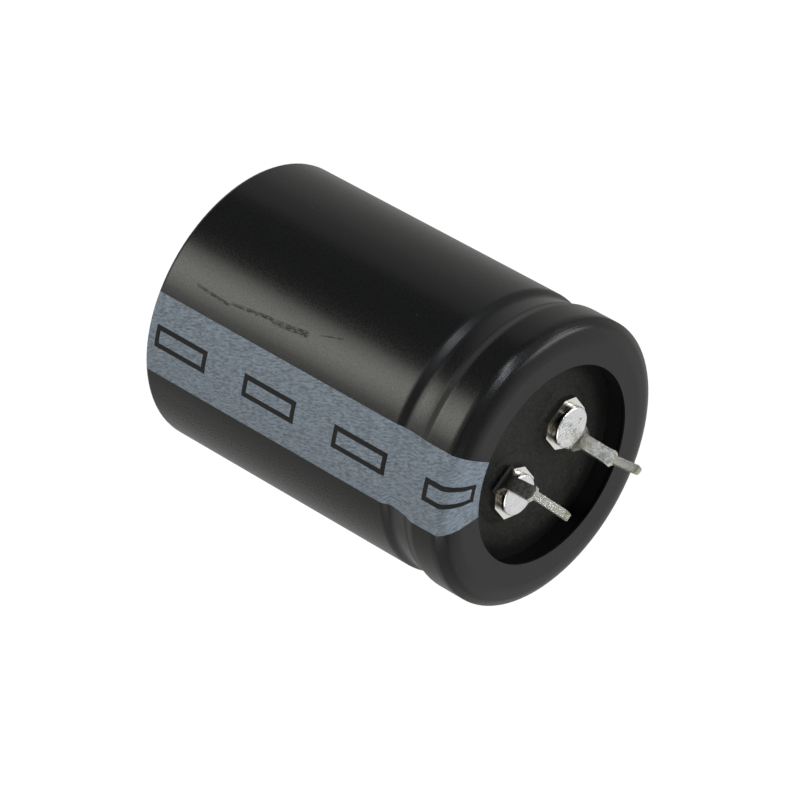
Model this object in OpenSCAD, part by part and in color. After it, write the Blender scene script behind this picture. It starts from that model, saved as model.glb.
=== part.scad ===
// Radial snap-in electrolytic capacitor.
// It stands on its closed end at z = 0, with the can's axis on +Z and the terminals on top.
// The terminal tips lie along X, with the negative one at +X, beside the printed stripe.

/* [Can] */
// Outer diameter of the bare can
can_d = 30; // [25:0.5:40]
// Height from the resting face to the flat of the terminal end
body_h = 41; // [34:0.5:60]
// Wall thickness of the can
can_wall = 0.45; // [0.3:0.05:0.6]
// Edge radius at the closed end of the can
can_edge_r = 0.2; // [0.1:0.05:0.8]
// Width of the groove rolled into the can under the deck
bead_w = 1.6; // [1.2:0.1:2.4]
// Depth of the rolled groove
bead_depth = 1.3; // [0.8:0.1:2]
// Height of the can wall between the rolled groove and the underside of the deck
bead_ledge = 0.3; // [0.2:0.05:0.8]
// Swell of the can beyond the rolled groove, on the radius
swell = 0.2; // [0:0.05:0.4]
// How far the curled rim runs flat before its end turns down
curl_flat = 0.25; // [0.1:0.05:0.6]
// How far the end of the curl bites down into the seal ring
curl_bite = 0.5; // [0.2:0.1:0.8]

/* [Vent] */
// Length of each scored line of the vent in the closed end
vent_l = 13; // [8:0.5:18]
// Width of a scored line at the surface
vent_w = 0.8; // [0.4:0.1:1.2]
// Depth of a scored line
vent_depth = 0.3; // [0.1:0.05:0.4]

/* [Sleeve] */
// Thickness of the shrunk sleeve
sleeve_t = 0.25; // [0.2:0.05:0.4]
// Width of the edge that is turned in under the closed end
turn_in = 2.2; // [1:0.1:4]
// Distance from the widest part of the shoulder in to where it turns flat
shoulder_in = 2.55; // [1.8:0.05:3]
// Height of the rounded shoulder
shoulder_h = 1.1; // [0.8:0.05:1.8]
// Fullness of the shoulder's curve, where 2 is an ellipse and less is flatter
shoulder_power = 1.7; // [1.4:0.1:2.4]
// Width of the flat between the shoulder and the mouth
lip_w = 2.2; // [1.6:0.05:3]
// How far the mouth and the terminals sit off the can's axis, along X
face_off_x = -0.15; // [-0.3:0.01:0.3]
// How far the mouth and the terminals sit off the can's axis, along Y
face_off_y = -0.15; // [-0.3:0.01:0.3]
// Depth of the dip where the sleeve spans the rolled groove
dip_depth = 0.38; // [0.2:0.02:0.6]
// Height of the steep side of the dip
dip_fall = 1.1; // [0.5:0.1:1.4]
// Height of the slow side of the dip
dip_rise = 2; // [1.7:0.1:3]
// Depth of the sleeve at the crease above the dip
crease_depth = 0.12; // [0.04:0.02:0.18]
// Height over which the sleeve swells out from the crease
crease_rise = 1.3; // [0.4:0.1:1.6]

/* [Stripe] */
// Angle that the printed stripe covers
stripe_angle = 32.6; // [20:0.2:50]
// Direction of the stripe's middle, from the X axis
stripe_turn = -14.7; // [-40:0.1:40]
// Depth that the print is let into the sleeve
print_t = 0.1; // [0.06:0.01:0.14]
// Length of each hollow rectangle, along the can
mark_l = 7.05; // [5:0.05:9]
// Width of each hollow rectangle, round the can
mark_w = 2.45; // [1.5:0.05:4]
// Width of the line of a hollow rectangle
mark_line = 0.55; // [0.2:0.05:0.6]
// Distance from one rectangle to the next
mark_pitch = 12.2; // [10:0.05:14]
// Distance from the resting face to the first rectangle
mark_start = 1.2; // [0.6:0.05:3]
// How far the rectangle that bends over the shoulder stops short of the mouth
mark_stop = 0.8; // [0.4:0.05:1.4]

/* [Deck] */
// Depth of the deck's face below the flat of the terminal end
deck_drop = 2.6; // [2.3:0.05:3.2]
// Thickness of the deck
deck_t = 3; // [2:0.1:4]
// Diameter of the raised seat under each terminal
seat_d = 7.6; // [7.2:0.1:8]
// Height of the raised seat
seat_h = 0.35; // [0.1:0.05:0.5]
// Width of the sloped edge of the raised seat
seat_slope = 0.8; // [0.2:0.05:0.85]
// How far the bore of the seal ring stands back from the mouth
ring_back = 0.5; // [0.2:0.05:0.8]

/* [Terminals] */
// Distance between the tips of the two terminals
pin_pitch = 10.3; // [9.8:0.1:11]
// Distance from the rivet's axis to the line of the tip
strap_l = 2.5; // [2.4:0.05:2.8]
// Direction from the negative rivet to its tip, from the X axis
strap_turn = -56.4; // [-75:0.1:-45]
// Thickness of the terminal sheet
sheet_t = 0.6; // [0.4:0.05:0.8]
// Width of the base plate
plate_w = 5.1; // [4.8:0.05:5.4]
// Distance from the rivet's axis to the back edge of the base plate
plate_back = 2.6; // [2.4:0.05:3]
// Size of the cut corners at the back of the base plate
plate_corner = 1.15; // [0.6:0.05:1.6]
// Width of the strap at the fold
root_w = 3.2; // [2.8:0.1:4]
// Inner radius of the fold between the base plate and the blade
fold_r = 0.35; // [0.2:0.05:0.5]
// Gap between the rivet head and the start of the fold
fold_gap = 0.1; // [0.05:0.05:0.3]
// Height of the straight part of the root, above the base plate
root_h = 0.45; // [0.2:0.05:0.8]
// Height over which the root narrows to the blade
root_taper = 0.5; // [0.3:0.05:0.9]
// Width of the wide part of the blade
blade_w = 1.5; // [1.2:0.05:1.8]
// Width across the shoulders of the blade
shoulder_w = 1.66; // [1.5:0.02:1.9]
// Width of the narrow tip of the blade
tip_w = 0.86; // [0.6:0.02:1]
// Rounding of the corners of the tip
tip_r = 0.34; // [0.1:0.02:0.4]
// How far the blade kicks out beyond the line of the tip, at its shoulders
kick_out = 1.25; // [0.6:0.05:1.6]
// Height of the blade's shoulders above the flat of the terminal end
shoulder_rise = 2.9; // [1.5:0.1:3.6]
// Height of the sloped part of the shoulders
shoulder_slope = 0.3; // [0.1:0.05:0.6]
// Height over which the blade widens to its shoulders
shoulder_flare = 0.5; // [0.3:0.05:0.8]
// Height of the tip above the flat of the terminal end
pin_rise = 6.7; // [5:0.1:7.5]

/* [Rivets] */
// Diameter of the rivet head
head_d = 4.4; // [3.6:0.1:4.6]
// Height of the rivet head
head_h = 0.8; // [0.5:0.05:1]
// Rounding of the rivet head's edge
head_edge_r = 0.15; // [0.05:0.05:0.3]
// Diameter of the rivet's shank, which fills its holes
shank_d = 2.4; // [1.8:0.1:3]

/* [Hidden] */
$fn = 96;

// Points on each curved stretch of the can and sleeve
edge_steps = 4;
dip_steps = 6;
shoulder_steps = 12;
fold_steps = 6;
tip_steps = 6;
// Fullness of the slow side of the dip, where 1 is straight
dip_power = 1.3;
// Overshoot of a cutting shape past the surface that it cuts
over = 1;

// Radii
can_r = can_d / 2;
sleeve_r = can_r + sleeve_t;
swell_r = sleeve_r + swell;
flat_r = swell_r - shoulder_in;
mouth_r = flat_r - lip_w;
ring_bore_r = mouth_r + ring_back;
curl_r = flat_r - curl_flat;
face_off = norm([face_off_x, face_off_y]);
head_r = head_d / 2;

// Heights above the resting face
deck_top = body_h - deck_drop;
deck_bottom = deck_top - deck_t;
bead_top = deck_bottom - bead_ledge;
bead_bottom = bead_top - bead_w;
dip_start = bead_bottom - dip_fall;
dip_end = bead_bottom + dip_rise;
curl_under = body_h - sleeve_t - can_wall;
seat_top = deck_top + seat_h;
plate_top = seat_top + sheet_t;
shoulder_z = body_h + shoulder_rise;
tip_z = body_h + pin_rise;

// The deck and its ring fit inside the can wall at the crease, where the wall is narrowest
dip_at_deck = dip_depth + (crease_depth - dip_depth) * (deck_bottom - bead_bottom) / dip_rise;
deck_r = can_r - max(dip_at_deck, crease_depth) - can_wall;
// Depth of the can wall's inner face under the sleeve, and where on the shoulder it meets the ring
inner_depth = sleeve_t + can_wall;
ring_a0 = acos(pow((deck_r - flat_r) / (shoulder_in - inner_depth), shoulder_power / 2));

function ease(t) = (1 - cos(180 * t)) / 2;
function reversed(list) = [for (k = [len(list) - 1 : -1 : 0]) list[k]];

// Outline of the shoulder at a depth under the sleeve's surface, from the angle a0 up to the flat
function shoulder_curve(inset, a0 = 0) = [
    for (k = [0 : shoulder_steps])
        let (a = a0 + (90 - a0) * k / shoulder_steps)
        [flat_r + (shoulder_in - inset) * pow(cos(a), 2 / shoulder_power),
         body_h - shoulder_h + (shoulder_h - inset) * pow(sin(a), 2 / shoulder_power)]
];

// Outline of the sleeve's side at a depth under its surface, from the closed end to the flat
function side_curve(inset) = concat(
    [for (k = [0 : edge_steps])
        let (a = -90 + 90 * k / edge_steps, r = can_edge_r + sleeve_t - inset)
        [can_r - can_edge_r + r * cos(a), sleeve_t + can_edge_r + r * sin(a)]],
    [for (k = [0 : dip_steps])
        [sleeve_r - inset - dip_depth * ease(k / dip_steps), dip_start + dip_fall * k / dip_steps]],
    [for (k = [1 : dip_steps])
        [sleeve_r - inset - dip_depth + (dip_depth - crease_depth) * pow(k / dip_steps, dip_power),
         bead_bottom + dip_rise * k / dip_steps]],
    [for (k = [1 : dip_steps])
        [sleeve_r - inset - crease_depth + (crease_depth + swell) * ease(k / dip_steps),
         dip_end + crease_rise * k / dip_steps]],
    shoulder_curve(inset));

// Aluminium can with its contents, solid up to the deck, with the rim curled over the seal ring
module sealed_can() {
    curl_bottom = curl_under - curl_bite;
    color("silver")
        difference() {
            rotate_extrude()
                polygon(concat(
                    [[0, sleeve_t]],
                    side_curve(sleeve_t),
                    [[curl_r - can_wall, body_h - sleeve_t],
                     [curl_r - can_wall, curl_bottom],
                     [curl_r, curl_bottom],
                     [curl_r, curl_under]],
                    reversed(shoulder_curve(inner_depth, ring_a0)),
                    [[deck_r, deck_bottom], [0, deck_bottom]]));
            rotate_extrude() {
                translate([can_r - bead_depth + bead_w / 2, (bead_top + bead_bottom) / 2])
                    circle(d = bead_w);
                translate([can_r - bead_depth + bead_w / 2, bead_bottom])
                    square([bead_depth + over, bead_w]);
            }
            for (turn = [0, 90])
                rotate([0, 0, turn])
                    vent_line();
        }
}

// One scored line of the vent, a V across the closed end
module vent_line() {
    translate([-vent_l / 2, 0, sleeve_t])
        rotate([90, 0, 90])
            linear_extrude(height = vent_l)
                polygon([[-vent_w / 2, 0], [-vent_w / 2, -over], [vent_w / 2, -over],
                         [vent_w / 2, 0], [0, vent_depth]]);
}

// Moulded disc that closes the can, with a raised seat and a hole for each riveted terminal
module seal_deck() {
    color([0.09, 0.09, 0.09])
        difference() {
            union() {
                translate([0, 0, deck_bottom])
                    cylinder(r = deck_r, h = deck_t);
                at_rivets()
                    rotate_extrude()
                        polygon([[0, deck_bottom], [seat_d / 2, deck_bottom], [seat_d / 2, deck_top],
                                 [seat_d / 2 - seat_slope, seat_top], [0, seat_top]]);
            }
            at_rivets()
                translate([0, 0, deck_bottom - over])
                    cylinder(d = shank_d, h = deck_t + seat_h + 2 * over);
        }
}

// Rubber ring on the deck, which the curled rim of the can bites into
module seal_ring() {
    color([0.06, 0.06, 0.06])
        rotate_extrude()
            polygon(concat(
                [[ring_bore_r, deck_top], [deck_r, deck_top]],
                shoulder_curve(inner_depth, ring_a0),
                [[curl_r, curl_under],
                 [curl_r, curl_under - curl_bite],
                 [curl_r - can_wall, curl_under - curl_bite],
                 [curl_r - can_wall, curl_under],
                 [ring_bore_r, curl_under]]));
}

// Whole shrunk sleeve, before the print is let in
module sleeve_form() {
    end_r = sleeve_r - turn_in;
    lip_r = mouth_r - face_off - over / 2;
    difference() {
        rotate_extrude()
            polygon(concat(
                [[end_r, 0]], side_curve(0), [[lip_r, body_h]],
                [[lip_r, body_h - sleeve_t]], reversed(side_curve(sleeve_t)), [[end_r, sleeve_t]]));
        translate([face_off_x, face_off_y, body_h - sleeve_t - over])
            cylinder(r = mouth_r, h = sleeve_t + 2 * over);
    }
}

// Part of a ring round the can, centred on the stripe, from a profile in radius and height
module stripe_sector(angle) {
    rotate([0, 0, stripe_turn])
        rotate_extrude(angle = angle, start = -angle / 2)
            children();
}

// Hollow rectangle that the print leaves open, from a height up, and in to a radius
module hollow_mark(z0, height, in_r) {
    mark_angle = mark_w / sleeve_r * 180 / PI;
    line_angle = mark_line / sleeve_r * 180 / PI;
    out_r = swell_r + over;
    difference() {
        stripe_sector(mark_angle)
            translate([in_r, z0])
                square([out_r + over - in_r, height]);
        stripe_sector(mark_angle - 2 * line_angle)
            translate([in_r + mark_line, z0 + mark_line])
                square([out_r + 2 * over - in_r, height - 2 * mark_line]);
    }
}

// Space that the print takes up in the sleeve's surface
module print_zone() {
    end_r = sleeve_r - turn_in - over;
    lip_r = mouth_r - face_off - over;
    out_r = swell_r + over;
    wall_in_r = can_r - over;
    last_z = mark_start + 3 * mark_pitch;
    difference() {
        stripe_sector(stripe_angle)
            polygon(concat(
                [[end_r, print_t]], side_curve(print_t), [[lip_r, body_h - print_t]],
                [[lip_r, body_h + over], [out_r, body_h + over], [out_r, -over], [end_r, -over]]));
        for (k = [0 : 2])
            hollow_mark(mark_start + k * mark_pitch, mark_l, wall_in_r);
        hollow_mark(last_z, body_h + 2 * over - last_z + mark_line, mouth_r + mark_stop);
    }
}

// Black shrunk sleeve, turned in at both ends
module sleeve() {
    color([0.07, 0.07, 0.08])
        difference() {
            sleeve_form();
            print_zone();
        }
}

// Printed polarity stripe, flush with the sleeve
module polarity_stripe() {
    color([0.49, 0.53, 0.59])
        intersection() {
            sleeve_form();
            print_zone();
        }
}

// Places its children at the negative rivet, with Y along the strap
module at_negative_rivet() {
    translate([face_off_x + pin_pitch / 2, face_off_y, 0])
        rotate([0, 0, strap_turn - 90])
            translate([0, -strap_l, 0])
                children();
}

// Places its children at the positive rivet, half a turn from the negative one
module at_positive_rivet() {
    translate([face_off_x - pin_pitch / 2, face_off_y, 0])
        rotate([0, 0, strap_turn + 90])
            translate([0, -strap_l, 0])
                children();
}

module at_rivets() {
    at_negative_rivet()
        children();
    at_positive_rivet()
        children();
}

// Points beside a path at a distance to its left, with mitred corners
function beside(path, d) = [
    for (k = [0 : len(path) - 1])
        let (a = path[max(k - 1, 0)], b = path[k], c = path[min(k + 1, len(path) - 1)],
             u = k == 0 ? (c - b) / norm(c - b) : (b - a) / norm(b - a),
             v = k == len(path) - 1 ? u : (c - b) / norm(c - b),
             m = (u + v) / norm(u + v))
        b + d / (m * u) * [-m[1], m[0]]
];

// Side view of the strap: along the base plate, round the fold, out to the shoulders and back to the tip
module strap_side() {
    fold_y = head_r + fold_gap;
    fold_z = plate_top + fold_r;
    mid_r = fold_r + sheet_t / 2;
    reach = [strap_l + kick_out - fold_y, shoulder_z - fold_z];
    lean = acos(mid_r / norm(reach)) - atan2(reach[1], reach[0]);
    path = concat(
        [[fold_y - root_h, seat_top + sheet_t / 2]],
        [for (k = [0 : fold_steps])
            let (a = -90 + (90 - lean) * k / fold_steps)
            [fold_y + mid_r * cos(a), fold_z + mid_r * sin(a)]],
        [[strap_l + kick_out, shoulder_z], [strap_l, tip_z]]);
    polygon(concat(beside(path, sheet_t / 2), reversed(beside(path, -sheet_t / 2))));
}

// Front view of the strap: root, taper, blade, sloped shoulders and tip
module strap_front() {
    corner_r = min(tip_r, tip_w / 2);
    half = concat(
        [[root_w / 2, seat_top - over],
         [root_w / 2, plate_top],
         [root_w / 2 - (root_w - blade_w) / 6, plate_top + root_h],
         [blade_w / 2, plate_top + root_h + root_taper],
         [blade_w / 2, shoulder_z - shoulder_slope - shoulder_flare],
         [shoulder_w / 2, shoulder_z - shoulder_slope],
         [tip_w / 2, shoulder_z]],
        [for (k = [0 : tip_steps])
            let (a = 90 * k / tip_steps)
            [tip_w / 2 - corner_r + corner_r * cos(a), tip_z - corner_r + corner_r * sin(a)]]);
    polygon(concat(half, reversed([for (p = half) [-p[0], p[1]]])));
}

// Stamped terminal: a riveted base plate with its blade folded up
module terminal() {
    fold_y = head_r + fold_gap;
    plate_x = plate_w / 2;
    strap_reach = strap_l + kick_out + over;
    difference() {
        union() {
            translate([0, 0, seat_top])
                linear_extrude(height = sheet_t)
                    polygon([[plate_corner - plate_x, -plate_back], [plate_x - plate_corner, -plate_back],
                             [plate_x, plate_corner - plate_back], [plate_x, plate_back - root_w / 2],
                             [root_w / 2, fold_y], [-root_w / 2, fold_y],
                             [-plate_x, plate_back - root_w / 2], [-plate_x, plate_corner - plate_back]]);
            intersection() {
                rotate([90, 0, 90])
                    translate([0, 0, -root_w])
                        linear_extrude(height = 2 * root_w)
                            strap_side();
                translate([0, strap_reach, 0])
                    rotate([90, 0, 0])
                        linear_extrude(height = strap_reach)
                            strap_front();
            }
        }
        translate([0, 0, seat_top - over])
            cylinder(d = shank_d, h = sheet_t + 2 * over);
    }
}

module terminal_negative() {
    color([0.72, 0.71, 0.67])
        at_negative_rivet()
            terminal();
}

module terminal_positive() {
    color([0.72, 0.71, 0.67])
        at_positive_rivet()
            terminal();
}

// Aluminium rivet: a flat head with a rounded edge, and a shank down to the underside of the deck
module rivet() {
    rotate_extrude()
        polygon(concat(
            [[0, deck_bottom], [shank_d / 2, deck_bottom], [shank_d / 2, plate_top], [head_r, plate_top]],
            [for (k = [0 : edge_steps])
                let (a = 90 * k / edge_steps)
                [head_r - head_edge_r + head_edge_r * cos(a),
                 plate_top + head_h - head_edge_r + head_edge_r * sin(a)]],
            [[0, plate_top + head_h]]));
}

module rivet_negative() {
    color([0.85, 0.85, 0.86])
        at_negative_rivet()
            rivet();
}

module rivet_positive() {
    color([0.85, 0.85, 0.86])
        at_positive_rivet()
            rivet();
}

sealed_can();
seal_deck();
seal_ring();
sleeve();
polarity_stripe();
terminal_negative();
terminal_positive();
rivet_negative();
rivet_positive();
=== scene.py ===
"""Looks of a radial snap-in electrolytic capacitor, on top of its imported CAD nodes.

The script registers a small add-on. Each piece, or group of like pieces, has its own operator and its own
settings, and the studio has one operator for the floor, the reflector cards and the camera.
"""

import math

import bpy
from bpy.props import FloatProperty, FloatVectorProperty, PointerProperty
from bpy.types import Operator, Panel, PropertyGroup
from mathutils import Matrix, Vector

bl_info = {
    "name": "Snap-in Capacitor Looks",
    "version": (1, 0, 0),
    "blender": (4, 5, 0),
    "location": "View3D > Sidebar > Capacitor",
    "description": "Materials, studio lights and camera for a snap-in electrolytic capacitor",
    "category": "Material",
}

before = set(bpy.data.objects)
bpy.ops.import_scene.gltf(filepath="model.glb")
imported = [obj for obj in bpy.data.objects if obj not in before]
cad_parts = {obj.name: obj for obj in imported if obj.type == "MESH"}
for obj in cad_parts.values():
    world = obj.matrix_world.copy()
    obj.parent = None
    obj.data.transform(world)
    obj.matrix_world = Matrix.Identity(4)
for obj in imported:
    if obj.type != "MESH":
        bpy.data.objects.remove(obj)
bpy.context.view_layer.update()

MM = 0.001

# Sizes of the real part, in millimetres. Heights are from the closed end.
SLEEVE_RADIUS = 15.25
BODY_HEIGHT = 41.0
DIP_LOW = 32.0
DIP_HIGH = 34.1
CREASE_HEIGHT = 36.0
ROLL_HEIGHT = 39.1
DECK_RADIUS = 10.4
# How far in from the deck's rim its painted shade reaches
DECK_SHADE_WIDTH = 1.4
PLATE_HEIGHT = 39.35
SHOULDER_HEIGHT = 43.9
TIP_HEIGHT = 47.7
RIVET_TOP = 40.15
RIVET_RADIUS = 2.2

# The rivets stand at plus and minus RIVET_X and RIVET_Y, both moved by RIVET_SHIFT along X and Y
RIVET_X = 3.77
RIVET_Y = 2.08
RIVET_SHIFT = -0.15

# The print: its middle and half width round the can, and how far along wall and shoulder a painted sheen
# turns it pale
STRIPE_MIDDLE = -3.91
STRIPE_HALF = 4.37
LIP_RUN = 41.0

# Depths of the fine relief, in millimetres
WAVE_DEPTH = 0.05
WALL_GRAIN = 0.0006
LIP_GRAIN = 0.0014
ROLL_DEPTH = 0.18
DECK_GRAIN = 0.045
STRAP_DENTS = 0.07

# The way that the half of a rivet's side with painted shade faces, as x and y
SHADED_WAY = (0.766, -0.643)

# The studio: floor sizes in metres, and tints of the light
FLOOR_HALF = 3.0
FLOOR_DROP = 0.05 * MM
PLAIN = (1.0, 1.0, 1.0)
CREAM = (1.0, 1.0, 0.97)
WARM = (1.0, 1.0, 0.93)
COOL = (0.92, 1.0, 1.08)

# The camera's axes in the row frame, fitted to the outline in the photo
CAMERA_RIGHT = (-0.6854942510, -0.0061268513, 0.7280522602)
CAMERA_DOWN = (0.4243986716, 0.8091507002, 0.4063999409)
CAMERA_FORWARD = (-0.5915939481, 0.5875692351, -0.5520679256)


class Field:
    """A number, colour or vector that varies over a surface, as the output of a shader node."""

    def __init__(self, shader, socket):
        self.shader = shader
        self.socket = socket

    def math(self, operation, *others, swap=False):
        """The Math node's result for this number and the others."""
        values = [self, *others]
        if swap:
            values.reverse()
        inputs = dict(enumerate(values))
        return self.shader.node("ShaderNodeMath", {"operation": operation}, inputs)["Value"]

    def __add__(self, other):
        return self.math("ADD", other)

    def __radd__(self, other):
        return self.math("ADD", other, swap=True)

    def __sub__(self, other):
        return self.math("SUBTRACT", other)

    def __rsub__(self, other):
        return self.math("SUBTRACT", other, swap=True)

    def __mul__(self, other):
        return self.math("MULTIPLY", other)

    def __rmul__(self, other):
        return self.math("MULTIPLY", other, swap=True)

    def __truediv__(self, other):
        return self.math("DIVIDE", other)

    def __rtruediv__(self, other):
        return self.math("DIVIDE", other, swap=True)

    def __pow__(self, other):
        return self.math("POWER", other)

    def __rpow__(self, other):
        return self.math("POWER", other, swap=True)

    def most(self, other):
        """The larger of this number and another."""
        return self.math("MAXIMUM", other)

    def size(self):
        """This number without its sign."""
        return self.math("ABSOLUTE")

    def rise(self, low, high):
        """0 up to low, 1 from high, and a smooth rise between them."""
        settings = {"interpolation_type": "SMOOTHSTEP", "clamp": True}
        values = {"Value": self, "From Min": low, "From Max": high}
        return self.shader.node("ShaderNodeMapRange", settings, values)["Result"]

    def fall(self, low, high):
        """1 up to low, 0 from high, and a smooth fall between them."""
        return 1.0 - self.rise(low, high)

    def band(self, low, high, soft):
        """1 between low and high, with soft edges inside them."""
        return self.rise(low, low + soft) * self.fall(high - soft, high)

    def between(self, at_zero, at_one):
        """A number that runs from at_zero to at_one as this one runs from 0 to 1."""
        return self * (at_one - at_zero) + at_zero

    def parts(self):
        """The x, y and z of a vector."""
        split = self.shader.node("ShaderNodeSeparateXYZ", {}, {"Vector": self})
        return split["X"], split["Y"], split["Z"]

    def scaled(self, x, y, z):
        """A vector with each part multiplied."""
        settings = {"operation": "MULTIPLY"}
        return self.shader.node("ShaderNodeVectorMath", settings, {0: self, 1: (x, y, z)})["Vector"]


class Outputs:
    """The outputs of a node, as fields."""

    def __init__(self, shader, node):
        self.shader = shader
        self.node = node

    def __getitem__(self, name):
        return Field(self.shader, self.node.outputs[name])


class Shader:
    """A material and the means to build its node tree. A packed material of the name is dressed anew."""

    def __init__(self, name):
        self.material = bpy.data.materials.get(name) or bpy.data.materials.new(name)
        self.material.use_nodes = True
        self.tree = self.material.node_tree
        self.tree.nodes.clear()

    def node(self, kind, settings, inputs):
        """Adds a node, gives it its settings, then its values and links."""
        made = self.tree.nodes.new(kind)
        for name, value in settings.items():
            setattr(made, name, value)
        for name, value in inputs.items():
            if isinstance(value, Field):
                self.tree.links.new(value.socket, made.inputs[name])
            else:
                made.inputs[name].default_value = value
        return Outputs(self, made)

    def place(self):
        """The point on the surface in the row frame, in millimetres."""
        position = self.node("ShaderNodeTexCoord", {}, {})["Object"]
        return position.scaled(1 / MM, 1 / MM, 1 / MM)

    def vector(self, x, y, z):
        """A vector of three numbers."""
        return self.node("ShaderNodeCombineXYZ", {}, {"X": x, "Y": y, "Z": z})["Vector"]

    def noise(self, where, scale, detail=2.0, roughness=0.5, distortion=0.0):
        """Soft random numbers about 0.5. The scale is in cells a millimetre."""
        values = {
            "Vector": where,
            "Scale": scale,
            "Detail": detail,
            "Roughness": roughness,
            "Distortion": distortion,
        }
        return self.node("ShaderNodeTexNoise", {}, values)["Fac"]

    def specks(self, where, spacing, radius):
        """1 at the middle of scattered specks and 0 outside their radius, both in millimetres."""
        values = {"Vector": where, "Scale": 1 / spacing}
        distance = self.node("ShaderNodeTexVoronoi", {}, values)["Distance"] * spacing
        return distance.fall(radius * 0.4, radius)

    def mix(self, amount, first, second):
        """A colour between two colours."""
        settings = {"data_type": "RGBA", "clamp_factor": True}
        return self.node("ShaderNodeMix", settings, {0: amount, 6: first, 7: second})[2]

    def bump(self, height):
        """A normal that follows a height in millimetres."""
        values = {"Height": height * MM, "Strength": 1.0, "Distance": 1.0}
        return self.node("ShaderNodeBump", {}, values)["Normal"]

    def finish(self, **inputs):
        """Closes the tree with a Principled BSDF, and returns the material."""
        values = {name.replace("_", " "): value for name, value in inputs.items()}
        surface = self.node("ShaderNodeBsdfPrincipled", {}, values)["BSDF"]
        self.node("ShaderNodeOutputMaterial", {}, {"Surface": surface})
        return self.material


def shade(colour, factor):
    """A colour made lighter or darker, with the alpha that a node wants."""
    return (colour[0] * factor, colour[1] * factor, colour[2] * factor, 1.0)


def wrapped(shader):
    """How far round the can a point lies, how far along the wall and over the shoulder, and how high."""
    x, y, up = shader.place().parts()
    radius = (x * x + y * y) ** 0.5
    round_can = y.math("ARCTAN2", x) * SLEEVE_RADIUS
    return round_can, up + (SLEEVE_RADIUS - radius), up


def scratch(shader, round_can, up, start, end, width):
    """A patch of hatching rubbed along a line, stronger towards its end.

    start and end are each how far round the can and how high, and width is half the patch's width.
    """
    length = math.hypot(end[0] - start[0], end[1] - start[1])
    run = ((end[0] - start[0]) / length, (end[1] - start[1]) / length)
    along = (round_can - start[0]) * run[0] + (up - start[1]) * run[1]
    across = (up - start[1]) * run[0] - (round_can - start[0]) * run[1]
    hatch = shader.vector(along * 0.8 + across * 1.2, across * 4.5, 0.0)
    strokes = shader.noise(hatch, scale=1.7, detail=3.0, roughness=0.7)
    patch = across.size().fall(width * 0.4, width) * along.band(-0.3, length + 0.3, soft=0.5)
    return patch * strokes.rise(0.42, 0.58) * (along * (0.5 / length) + 0.5)


def sleeve_material(look):
    """Semi-gloss black shrink film with a fine grain, a chain of scuffs and a little dust.

    It is darkened by painted shade and dull under the print, where it shows through the ink's marks,
    duller in the dip and the crease, and rolls softly into the shoulder.
    """
    shader = Shader("sleeve_black")
    where = shader.place()
    round_can, _, up = wrapped(shader)
    grain = shader.noise(where, scale=2.2, detail=4.0, roughness=0.6)
    skin = shader.noise(where, scale=4.5, detail=2.0, roughness=0.7).rise(0.3, 0.7)
    wave = shader.noise(where.scaled(1.0, 1.0, 0.4), scale=0.16, detail=1.0)
    scuffs = [
        scratch(shader, round_can, up, start=(-10.65, 4.2), end=(-10.4, 8.6), width=0.2),
        scratch(shader, round_can, up, start=(-10.65, 9.0), end=(-11.25, 14.2), width=0.25),
        scratch(shader, round_can, up, start=(-11.05, 14.1), end=(-11.6, 18.7), width=0.4),
        scratch(shader, round_can, up, start=(-12.2, 20.2), end=(-12.85, 22.5), width=0.1),
    ]
    worn = scuffs[0]
    for patch in scuffs[1:]:
        worn = worn.most(patch)
    worn = worn * look.scuffs
    dust = shader.specks(where, spacing=2.6, radius=0.07) * look.dust
    printed = (round_can - STRIPE_MIDDLE).size().fall(STRIPE_HALF - 0.3, STRIPE_HALF - 0.1)
    film = shader.mix(grain, shade(look.film, 0.85), shade(look.film, 1.15))
    # Painted shade: the film under the print, seen through the ink's marks, is darkened.
    film = shader.mix(printed * 0.8, film, shade(look.film, 0.2))
    film = shader.mix(worn, film, shade(look.scuff_tint, 1.0))
    film = shader.mix(dust, film, shade(look.dust_tint, 1.0))
    crease = (up - CREASE_HEIGHT).size().fall(0.3, 0.8)
    dip = up.band(DIP_LOW, DIP_HIGH, soft=0.5)
    roughness = skin.between(look.roughness - 0.04, look.roughness + 0.04)
    roughness = roughness + worn * 0.65 + crease * 0.16 + dip * 0.1 + printed * 0.5
    past = (up - ROLL_HEIGHT).most(0.0)
    roll = past * past * up.fall(ROLL_HEIGHT + 0.8, ROLL_HEIGHT + 1.6) * -ROLL_DEPTH
    grain_depth = up.rise(ROLL_HEIGHT, BODY_HEIGHT).between(WALL_GRAIN, LIP_GRAIN)
    return shader.finish(
        Base_Color=film,
        Roughness=roughness,
        Specular_IOR_Level=look.specular,
        Normal=shader.bump(wave * WAVE_DEPTH + skin * grain_depth + roll),
    )


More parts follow.
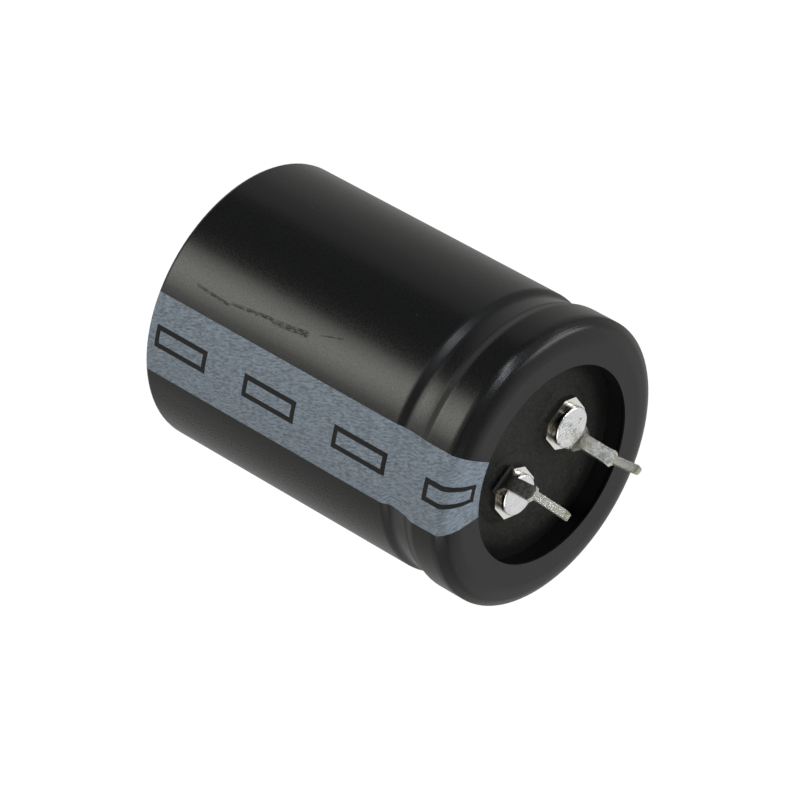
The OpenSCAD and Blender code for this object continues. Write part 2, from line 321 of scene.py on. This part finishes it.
def stripe_material(look):
    """Blue-grey ink in fine leathery wrinkles along the can, with painted shade in their valleys and
    painted light on their crests, a painted sheen that makes it paler on the lip, and a few dark nicks.
    """
    shader = Shader("stripe_print")
    round_can, run, _ = wrapped(shader)
    sine = math.sin(look.lean)
    cosine = math.cos(look.lean)
    across = round_can * cosine + run * sine
    along = run * cosine - round_can * sine
    skin = shader.vector(across, along * look.stretch, 0.0)
    fine = shader.noise(skin, scale=look.wrinkles, detail=3.0, roughness=0.6, distortion=0.15)
    long_noise = shader.noise(skin.scaled(1.0, 0.6, 1.0), scale=look.wrinkles * 0.6, detail=2.0)
    folds = (long_noise - 0.5).size().rise(0.0, 0.07)
    wrinkles = fine.rise(0.34, 0.66) * 0.55 + folds * 0.45
    cloud = shader.noise(skin, scale=0.5, detail=2.0)
    light = wrinkles * 0.85 + cloud * 0.15
    # Painted shade and painted light: the ink is darker in the wrinkles' valleys and lighter on their
    # crests.
    valley_shade = 1.0 - look.contrast
    crest_highlight = 1.0 + look.contrast
    # Painted sheen: the ink turns paler towards the lip.
    pale = look.lip_sheen
    ink = shader.mix(light, shade(look.ink, valley_shade), shade(look.ink, crest_highlight))
    sheen_ink = shader.mix(light, shade(look.ink, valley_shade * pale), shade(look.ink, crest_highlight * pale))
    ink = shader.mix(run.rise(LIP_RUN - 1.0, LIP_RUN + 1.0), ink, sheen_ink)
    nicks = shader.specks(shader.vector(round_can, run, 0.0), spacing=3.0, radius=0.12)
    ink = shader.mix(nicks * look.nicks, ink, shade(look.ink, 0.3))
    return shader.finish(
        Base_Color=ink,
        Roughness=light.between(look.roughness + 0.06, look.roughness - 0.06),
        Specular_IOR_Level=look.specular,
        Normal=shader.bump(wrinkles * look.relief),
    )


def can_material(look):
    """Drawn aluminium, with fine lines along the draw."""
    shader = Shader("can_aluminium")
    where = shader.place()
    lines = shader.noise(where.scaled(3.0, 3.0, 0.15), scale=1.4, detail=3.0)
    metal = shader.mix(lines, shade(look.metal, 0.93), shade(look.metal, 1.05))
    return shader.finish(
        Base_Color=metal,
        Metallic=1.0,
        Roughness=lines.between(look.roughness - 0.06, look.roughness + 0.06),
    )


def deck_material(look):
    """Matte black moulding with a fine speckled skin and a few pale flecks, and painted shade that
    darkens it towards its edge.
    """
    shader = Shader("deck_moulding")
    where = shader.place()
    x, y, _ = where.parts()
    radius = (x * x + y * y) ** 0.5
    grain = shader.noise(where, scale=3.4, detail=4.0, roughness=0.7)
    fleck = shader.specks(where, spacing=0.9, radius=0.09)
    edge = radius.rise(DECK_RADIUS - DECK_SHADE_WIDTH, DECK_RADIUS)
    resin = shader.mix(grain.rise(0.35, 0.7), shade(look.resin, 0.5), shade(look.resin, 1.55))
    resin = shader.mix(fleck * look.flecks, resin, shade(look.fleck_tint, 1.0))
    # Painted shade: the moulding is darkened towards its rim, in the seal ring's rubber colour.
    resin = shader.mix(edge * 0.8, resin, shade(look.rubber, 1.0))
    return shader.finish(
        Base_Color=resin,
        Roughness=grain.between(look.roughness - 0.08, look.roughness + 0.08) + edge * 0.2,
        Specular_IOR_Level=look.specular,
        Normal=shader.bump(grain * DECK_GRAIN),
    )


def ring_material(look):
    """Dull black rubber."""
    shader = Shader("seal_rubber")
    grain = shader.noise(shader.place(), scale=3.0, detail=3.0)
    rubber = shader.mix(grain, shade(look.rubber, 0.8), shade(look.rubber, 1.2))
    return shader.finish(
        Base_Color=rubber,
        Roughness=grain.between(0.8, 0.9),
        Specular_IOR_Level=0.16,
    )


def tin_material(look):
    """Tin plate: bright base plates whose side walls are darkened by bare cut metal and painted shade,
    mottled straps with stained roots and painted shade at their feet, and pale narrow blades.
    """
    shader = Shader("terminal_tin")
    where = shader.place()
    x, _, up = where.parts()
    mottle = shader.noise(where, scale=1.9, detail=4.0, roughness=0.65)
    grain = shader.noise(where, scale=6.0, detail=2.0, roughness=0.6)
    strap = up.rise(PLATE_HEIGHT + 0.1, PLATE_HEIGHT + 0.6)
    blade = up.rise(SHOULDER_HEIGHT - 0.5, SHOULDER_HEIGHT + 0.1)
    root = up.band(PLATE_HEIGHT, PLATE_HEIGHT + 2.6, soft=0.9) * mottle.rise(0.42, 0.6)
    foot = strap * up.fall(PLATE_HEIGHT + 0.7, PLATE_HEIGHT + 1.8)
    tip = up.rise(TIP_HEIGHT - 0.5, TIP_HEIGHT - 0.25) * mottle.rise(0.3, 0.5)
    plate_tin = shader.mix(mottle, shade(look.plate, 0.98), shade(look.plate, 1.04))
    strap_tin = shader.mix(mottle.rise(0.35, 0.65), shade(look.strap, 0.6), shade(look.strap, 1.25))
    tin = shader.mix(strap, plate_tin, strap_tin)
    # Bare cut metal and painted shade: the plates' side walls, below their top, are darkened.
    cut_edge_and_shade = up.fall(PLATE_HEIGHT - 0.08, PLATE_HEIGHT - 0.03)
    tin = shader.mix(cut_edge_and_shade * 0.8, tin, shade(look.stain, 0.5))
    tin = shader.mix(root * look.stain_amount, tin, shade(look.stain, 1.0))
    # Painted shade: the straps' feet, where they rise from the plates, are darkened by different amounts
    # on the two terminals.
    foot_shade = foot * x.rise(-1.0, 1.0).between(0.5, 0.9)
    tin = shader.mix(foot_shade, tin, shade(look.stain, 0.35))
    tin = shader.mix(blade, tin, shade(look.blade, 1.0))
    tin = shader.mix(tip * 0.7, tin, shade(look.tip, 1.0))
    dull = strap * (1.0 - blade * 0.6)
    grain_depth = blade.between(0.008, 0.002)
    return shader.finish(
        Base_Color=tin,
        Metallic=strap.between(look.shine, 1.0) - blade * 0.25,
        Roughness=dull.between(look.roughness, look.roughness + 0.2) + grain * 0.08,
        Normal=shader.bump(mottle * STRAP_DENTS * strap + grain * grain_depth),
    )


def dark_spot(x, y, middle, radius):
    """1 at the middle of a round dark spot on a rivet head and 0 outside its radius, in millimetres."""
    reach = ((x - middle[0]) ** 2.0 + (y - middle[1]) ** 2.0) ** 0.5
    return reach.fall(radius * 0.4, radius)


def rivet_material(look):
    """Aluminium rivet: a pale grainy face with dents and dark spots, and a side with painted shade in
    streaked dark brown on one half.
    """
    shader = Shader("rivet_aluminium")
    where = shader.place()
    x, y, up = where.parts()
    grain = shader.noise(where, scale=4.5, detail=3.0, roughness=0.65)
    dents = shader.noise(where, scale=0.9, detail=2.0, distortion=0.8)
    pits = shader.specks(where, spacing=1.5, radius=0.22)
    side = up.fall(RIVET_TOP - 0.17, RIVET_TOP - 0.09)
    face = shader.mix(grain.rise(0.3, 0.7), shade(look.face, 0.88), shade(look.face, 1.03))
    face = shader.mix(dents.rise(0.5, 0.68) * 0.3, face, shade(look.face, 0.75))
    face = shader.mix(pits * 0.7, face, shade(look.face, 0.3))
    dark_spots = [
        dark_spot(x, y, middle=(-3.66, -2.71), radius=0.34),
        dark_spot(x, y, middle=(-4.91, -2.35), radius=0.17),
        dark_spot(x, y, middle=(-4.17, -1.7), radius=0.45),
    ]
    for dark in dark_spots:
        face = shader.mix(dark * 0.55, face, shade(look.face, 0.4))
    streaks = shader.noise(where.scaled(1.0, 1.0, 3.0), scale=1.6, detail=3.0)
    which = x.math("SIGN")
    off_x = (x - RIVET_SHIFT - which * RIVET_X) / RIVET_RADIUS
    off_y = (y - RIVET_SHIFT - which * RIVET_Y) / RIVET_RADIUS
    # Painted shade: the half of the rivet's side that faces one way is painted streaked dark brown, and
    # the other half stays pale.
    shaded_half = (off_x * SHADED_WAY[0] + off_y * SHADED_WAY[1]).rise(0.35, 0.65)
    stained = shader.mix(streaks.rise(0.4, 0.7), shade(look.side, 0.5), shade(look.side, 2.0))
    seam = (up - (RIVET_TOP - 0.45)).size().fall(0.05, 0.12)
    bright = shader.mix(seam * 0.8, shade(look.face, 0.75), shade(look.side, 1.0))
    side_metal = shader.mix(shaded_half, bright, stained)
    relief = dents * 0.09 + grain * 0.02 - pits * 0.04
    return shader.finish(
        Base_Color=shader.mix(side, face, side_metal),
        Metallic=side.between(look.shine, 1.0),
        Roughness=side.between(look.roughness, 0.16) + grain * 0.08,
        Normal=shader.bump(relief * (1.0 - side)),
    )


def floor_material(look):
    """Plain pale floor that glows, so that it stays even."""
    shader = Shader("floor_white")
    return shader.finish(
        Base_Color=shade(look.floor, 0.04),
        Roughness=1.0,
        Specular_IOR_Level=0.0,
        Emission_Color=shade(look.floor, 1.0),
        Emission_Strength=1.0,
    )


def paint(material, *names):
    """Puts the material in the slots of these CAD nodes."""
    for name in names:
        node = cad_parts[name]
        if not node.material_slots:
            raise RuntimeError(f"{name} has no material slot")
        for slot in node.material_slots:
            slot.material = material


def direction(azimuth, elevation):
    """The unit vector at an azimuth from the X axis and an elevation, in degrees."""
    turn = math.radians(azimuth)
    lift = math.radians(elevation)
    return Vector((math.cos(turn) * math.cos(lift), math.sin(turn) * math.cos(lift), math.sin(lift)))


def add_mesh(name, corners, material):
    """A four-sided stage piece."""
    mesh = bpy.data.meshes.new(name)
    mesh.from_pydata(corners, [], [(0, 1, 2, 3)])
    mesh.materials.append(material)
    made = bpy.data.objects.new(name, mesh)
    bpy.context.scene.collection.objects.link(made)
    return made


def card(name, where, spread, distance, radiance, tint=PLAIN):
    """A glowing card that shows only in reflections, and hides what stands further off.

    where is its azimuth and elevation from the middle of the can, and spread is the width and the height
    that it covers there, all in degrees. The distance is in metres.
    """
    middle = Vector((0, 0, BODY_HEIGHT / 2 * MM))
    outward = direction(*where)
    across = Vector((0, 0, 1)).cross(outward).normalized()
    along = outward.cross(across)
    x = across * distance * math.tan(math.radians(spread[0] / 2))
    y = along * distance * math.tan(math.radians(spread[1] / 2))
    centre = middle + outward * distance
    corners = [centre - x - y, centre + x - y, centre + x + y, centre - x + y]
    shader = Shader(name)
    glow = {"Color": shade(tint, 1.0), "Strength": radiance}
    surface = shader.node("ShaderNodeEmission", {}, glow)["Emission"]
    shader.node("ShaderNodeOutputMaterial", {}, {"Surface": surface})
    made = add_mesh(name, corners, shader.material)
    made.visible_camera = False
    made.visible_shadow = False


def build_floor(look):
    """A plain pale floor under the can. The reflections are left to the cards."""
    corners = [
        (-FLOOR_HALF, -FLOOR_HALF, -FLOOR_DROP),
        (FLOOR_HALF, -FLOOR_HALF, -FLOOR_DROP),
        (FLOOR_HALF, FLOOR_HALF, -FLOOR_DROP),
        (-FLOOR_HALF, FLOOR_HALF, -FLOOR_DROP),
    ]
    floor = add_mesh("floor", corners, floor_material(look))
    floor.visible_glossy = False
    floor.visible_diffuse = False
    floor.visible_shadow = False


def build_cards(look):
    """An even surround with light and dark cards, placed where the real studio shows in the sleeve."""
    world = bpy.data.worlds.new("surround")
    world.use_nodes = True
    background = world.node_tree.nodes["Background"]
    background.inputs["Color"].default_value = shade(CREAM, 1.0)
    background.inputs["Strength"].default_value = look.surround
    bpy.context.scene.world = world
    card("window", where=(-90, 20), spread=(7, 58), distance=0.9, radiance=look.window, tint=COOL)
    card("far_softbox", where=(-157, 45), spread=(24, 30), distance=0.9, radiance=look.softbox)
    card("front_softbox", where=(25, 34), spread=(36, 50), distance=0.9, radiance=look.front)
    card("face_card", where=(140, 40), spread=(60, 40), distance=0.95, radiance=look.face_card)
    core = look.band * 1.3
    panel = look.band * 0.85
    card("band_core", where=(-41, -37), spread=(13, 31), distance=0.98, radiance=core, tint=WARM)
    card("band_panel", where=(-41, -37), spread=(28, 31), distance=1.0, radiance=panel, tint=WARM)
    card("dim_top", where=(0, 78), spread=(80, 70), distance=1.0, radiance=0.25)
    card("dark_side", where=(-89, -22), spread=(58, 96), distance=1.1, radiance=0.09)
    card("dim_side", where=(-128, -22), spread=(20, 96), distance=1.1, radiance=0.36)
    card("dim_low", where=(-140, -66), spread=(50, 40), distance=1.15, radiance=0.6)
    card("low_back", where=(130, -35), spread=(50, 30), distance=1.2, radiance=0.43)
    card("low_front", where=(30, -62), spread=(60, 40), distance=1.2, radiance=0.68)
    card("right_side", where=(75, 0), spread=(40, 50), distance=1.2, radiance=0.5)
    card("high_side", where=(-35, 22), spread=(40, 50), distance=1.2, radiance=0.13)


def build_camera(look):
    """The camera of the photo. It is rolled, because the real part lies on its side."""
    data = bpy.data.cameras.new("camera")
    data.lens = look.lens
    data.sensor_width = 36.0
    data.clip_start = 0.01
    data.clip_end = 20.0
    camera = bpy.data.objects.new("camera", data)
    bpy.context.scene.collection.objects.link(camera)
    turn = Matrix((Vector(CAMERA_RIGHT), -Vector(CAMERA_DOWN), -Vector(CAMERA_FORWARD))).transposed()
    camera.matrix_world = Matrix.Translation(Vector(look.camera_place)) @ turn.to_4x4()
    scene = bpy.context.scene
    scene.camera = camera
    scene.view_settings.view_transform = "Standard"
    scene.view_settings.look = "None"


def tint_property(name, description, default):
    """A colour setting."""
    return FloatVectorProperty(
        name=name, description=description, subtype="COLOR", size=3, min=0.0, max=1.0, default=default
    )


def share_property(name, description, default):
    """A setting from none to all."""
    return FloatProperty(
        name=name, description=description, subtype="FACTOR", min=0.0, max=1.0, default=default
    )


def glow_property(name, description, default):
    """A brightness setting, where 1 shows as white."""
    return FloatProperty(name=name, description=description, min=0.0, max=20.0, default=default)


class SleeveLook(PropertyGroup):
    """Settings of the shrink sleeve."""

    film: tint_property("Film", "Colour of the shrink film", (0.005, 0.0051, 0.0051))
    scuff_tint: tint_property("Scuff tint", "Colour of the rubbed patches", (0.02, 0.018, 0.014))
    roughness: share_property("Roughness", "Roughness of the film", 0.25)
    specular: share_property("Specular", "Strength of the film's reflection", 0.36)
    scuffs: share_property("Scuffs", "How much the rubbed patches show", 0.95)
    dust: share_property("Dust", "How much the dust shows", 0.5)
    dust_tint: tint_property("Dust tint", "Colour of the dust", (0.3, 0.3, 0.28))


class StripeLook(PropertyGroup):
    """Settings of the printed stripe."""

    ink: tint_property("Ink", "Colour of the ink", (0.133, 0.159, 0.188))
    roughness: share_property("Roughness", "Roughness of the ink", 0.5)
    specular: share_property("Specular", "Strength of the ink's reflection", 0.3)
    # Painted shade and painted light: how much darker the wrinkles' valleys and lighter their crests are
    # painted.
    contrast: share_property("Contrast", "How much lighter and darker the wrinkles are", 0.5)
    # Painted sheen: how many times paler the ink is painted on the lip.
    lip_sheen: FloatProperty(
        name="Lip paleness",
        description="How many times paler the ink is on the lip",
        min=1.0,
        max=3.0,
        default=1.45,
    )
    nicks: share_property("Nicks", "How much the dark nicks show", 0.4)
    wrinkles: FloatProperty(
        name="Wrinkles", description="Wrinkles a millimetre", min=0.2, max=9.0, default=5.0
    )
    stretch: share_property("Stretch", "How fast the wrinkles change lengthwise, against across", 0.33)
    lean: FloatProperty(
        name="Lean",
        description="How far the wrinkles turn from the can's axis",
        subtype="ANGLE",
        default=math.radians(18),
    )
    relief: FloatProperty(name="Relief", description="Height of the wrinkles, in mm", default=0.05)


class CanLook(PropertyGroup):
    """Settings of the aluminium can."""

    metal: tint_property("Metal", "Colour of the aluminium", (0.8, 0.8, 0.81))
    roughness: share_property("Roughness", "Roughness of the aluminium", 0.36)


class DeckLook(PropertyGroup):
    """Settings of the deck and its seal ring."""

    resin: tint_property("Resin", "Colour of the moulding", (0.019, 0.0187, 0.017))
    rubber: tint_property("Rubber", "Colour of the seal ring", (0.0015, 0.0015, 0.0014))
    roughness: share_property("Roughness", "Roughness of the moulding", 0.6)
    specular: share_property("Specular", "Strength of the moulding's reflection", 0.25)
    flecks: share_property("Flecks", "How much the pale flecks show", 0.5)
    fleck_tint: tint_property("Fleck tint", "Colour of the pale flecks", (0.16, 0.15, 0.13))


class TerminalLook(PropertyGroup):
    """Settings of the two terminals."""

    plate: tint_property("Plate", "Colour of the base plates", (0.97, 0.965, 0.9))
    strap: tint_property("Strap", "Colour of the wide straps", (0.95, 0.93, 0.85))
    blade: tint_property("Blade", "Colour of the narrow blades", (0.8, 0.79, 0.7))
    # Painted shade: this colour, darkened, also shades the plates' side walls and the straps' feet.
    stain: tint_property("Stain", "Colour of the stained root", (0.3, 0.25, 0.18))
    tip: tint_property("Tip", "Colour of the dark tip", (0.3, 0.28, 0.18))
    stain_amount: share_property("Stain amount", "How much the stain shows", 0.7)
    shine: share_property("Shine", "How metallic the base plates look", 0.97)
    roughness: share_property("Roughness", "Roughness of the base plates", 0.14)


class RivetLook(PropertyGroup):
    """Settings of the two rivets."""

    face: tint_property("Face", "Colour of the head", (0.97, 0.97, 0.975))
    # Painted shade: this dark colour shades one half of each rivet's side.
    side: tint_property("Side", "Colour of the stained side", (0.045, 0.039, 0.031))
    shine: share_property("Shine", "How metallic the head looks", 0.9)
    roughness: share_property("Roughness", "Roughness of the head", 0.24)


class StudioLook(PropertyGroup):
    """Settings of the floor, the cards and the camera."""

    floor: tint_property("Floor", "Colour of the floor", (1.0, 1.0, 1.0))
    surround: glow_property("Surround", "Brightness all round", 0.45)
    band: glow_property("Band", "Brightness of the panel behind the sleeve's pale band", 4.0)
    window: glow_property("Window", "Brightness of the window", 10.5)
    softbox: glow_property("Softbox", "Brightness of the far softbox", 3.9)
    front: glow_property("Front", "Brightness of the front softbox", 3.2)
    face_card: glow_property("Face card", "Brightness of the card that the deck faces", 0.67)
    lens: FloatProperty(
        name="Lens",
        description="Focal length of the camera, in mm",
        unit="CAMERA",
        min=20.0,
        max=400.0,
        default=219.22,
    )
    camera_place: FloatVectorProperty(
        name="Camera place",
        description="Where the camera stands",
        subtype="TRANSLATION",
        unit="LENGTH",
        default=(0.2877248, -0.2836746, 0.2892625),
    )


class CapacitorLooks(PropertyGroup):
    """All the settings."""

    sleeve: PointerProperty(type=SleeveLook)
    stripe: PointerProperty(type=StripeLook)
    can: PointerProperty(type=CanLook)
    deck: PointerProperty(type=DeckLook)
    terminals: PointerProperty(type=TerminalLook)
    rivets: PointerProperty(type=RivetLook)
    studio: PointerProperty(type=StudioLook)


class PaintSleeve(Operator):
    """Dress the shrink sleeve"""

    bl_idname = "capacitor.paint_sleeve"
    bl_label = "Sleeve"

    def execute(self, context):
        look = context.scene.capacitor_looks.sleeve
        paint(sleeve_material(look), "sleeve")
        return {"FINISHED"}


class PaintStripe(Operator):
    """Dress the printed polarity stripe"""

    bl_idname = "capacitor.paint_stripe"
    bl_label = "Polarity stripe"

    def execute(self, context):
        look = context.scene.capacitor_looks.stripe
        paint(stripe_material(look), "polarity_stripe")
        return {"FINISHED"}


class PaintCan(Operator):
    """Dress the aluminium can"""

    bl_idname = "capacitor.paint_can"
    bl_label = "Can"

    def execute(self, context):
        look = context.scene.capacitor_looks.can
        paint(can_material(look), "sealed_can")
        return {"FINISHED"}


class PaintDeck(Operator):
    """Dress the deck and its seal ring"""

    bl_idname = "capacitor.paint_deck"
    bl_label = "Deck and seal ring"

    def execute(self, context):
        look = context.scene.capacitor_looks.deck
        paint(deck_material(look), "seal_deck")
        paint(ring_material(look), "seal_ring")
        return {"FINISHED"}


class PaintTerminals(Operator):
    """Dress the two snap-in terminals"""

    bl_idname = "capacitor.paint_terminals"
    bl_label = "Terminals"

    def execute(self, context):
        look = context.scene.capacitor_looks.terminals
        paint(tin_material(look), "terminal_negative", "terminal_positive")
        return {"FINISHED"}


class PaintRivets(Operator):
    """Dress the two rivets"""

    bl_idname = "capacitor.paint_rivets"
    bl_label = "Rivets"

    def execute(self, context):
        look = context.scene.capacitor_looks.rivets
        paint(rivet_material(look), "rivet_negative", "rivet_positive")
        return {"FINISHED"}


class BuildStudio(Operator):
    """Set up the floor, the reflector cards and the camera"""

    bl_idname = "capacitor.build_studio"
    bl_label = "Studio"

    def execute(self, context):
        look = context.scene.capacitor_looks.studio
        build_floor(look)
        build_cards(look)
        build_camera(look)
        return {"FINISHED"}


STEPS = (PaintSleeve, PaintStripe, PaintCan, PaintDeck, PaintTerminals, PaintRivets, BuildStudio)


class CapacitorPanel(Panel):
    """Buttons for each piece, with its settings"""

    bl_idname = "VIEW3D_PT_capacitor"
    bl_label = "Snap-in Capacitor"
    bl_space_type = "VIEW_3D"
    bl_region_type = "UI"
    bl_category = "Capacitor"

    def draw(self, context):
        looks = context.scene.capacitor_looks
        groups = ("sleeve", "stripe", "can", "deck", "terminals", "rivets", "studio")
        for step, group in zip(STEPS, groups):
            box = self.layout.box()
            box.operator(step.bl_idname)
            look = getattr(looks, group)
            for name in look.__annotations__:
                box.prop(look, name)


CLASSES = (
    SleeveLook,
    StripeLook,
    CanLook,
    DeckLook,
    TerminalLook,
    RivetLook,
    StudioLook,
    CapacitorLooks,
    *STEPS,
    CapacitorPanel,
)


def register():
    """Registers the classes and the settings."""
    for made in CLASSES:
        bpy.utils.register_class(made)
    bpy.types.Scene.capacitor_looks = PointerProperty(type=CapacitorLooks)


def unregister():
    """Takes the classes and the settings away again."""
    del bpy.types.Scene.capacitor_looks
    for made in reversed(CLASSES):
        bpy.utils.unregister_class(made)


def main():
    """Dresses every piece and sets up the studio."""
    register()
    bpy.ops.capacitor.paint_sleeve()
    bpy.ops.capacitor.paint_stripe()
    bpy.ops.capacitor.paint_can()
    bpy.ops.capacitor.paint_deck()
    bpy.ops.capacitor.paint_terminals()
    bpy.ops.capacitor.paint_rivets()
    bpy.ops.capacitor.build_studio()


if __name__ == "__main__":
    main()
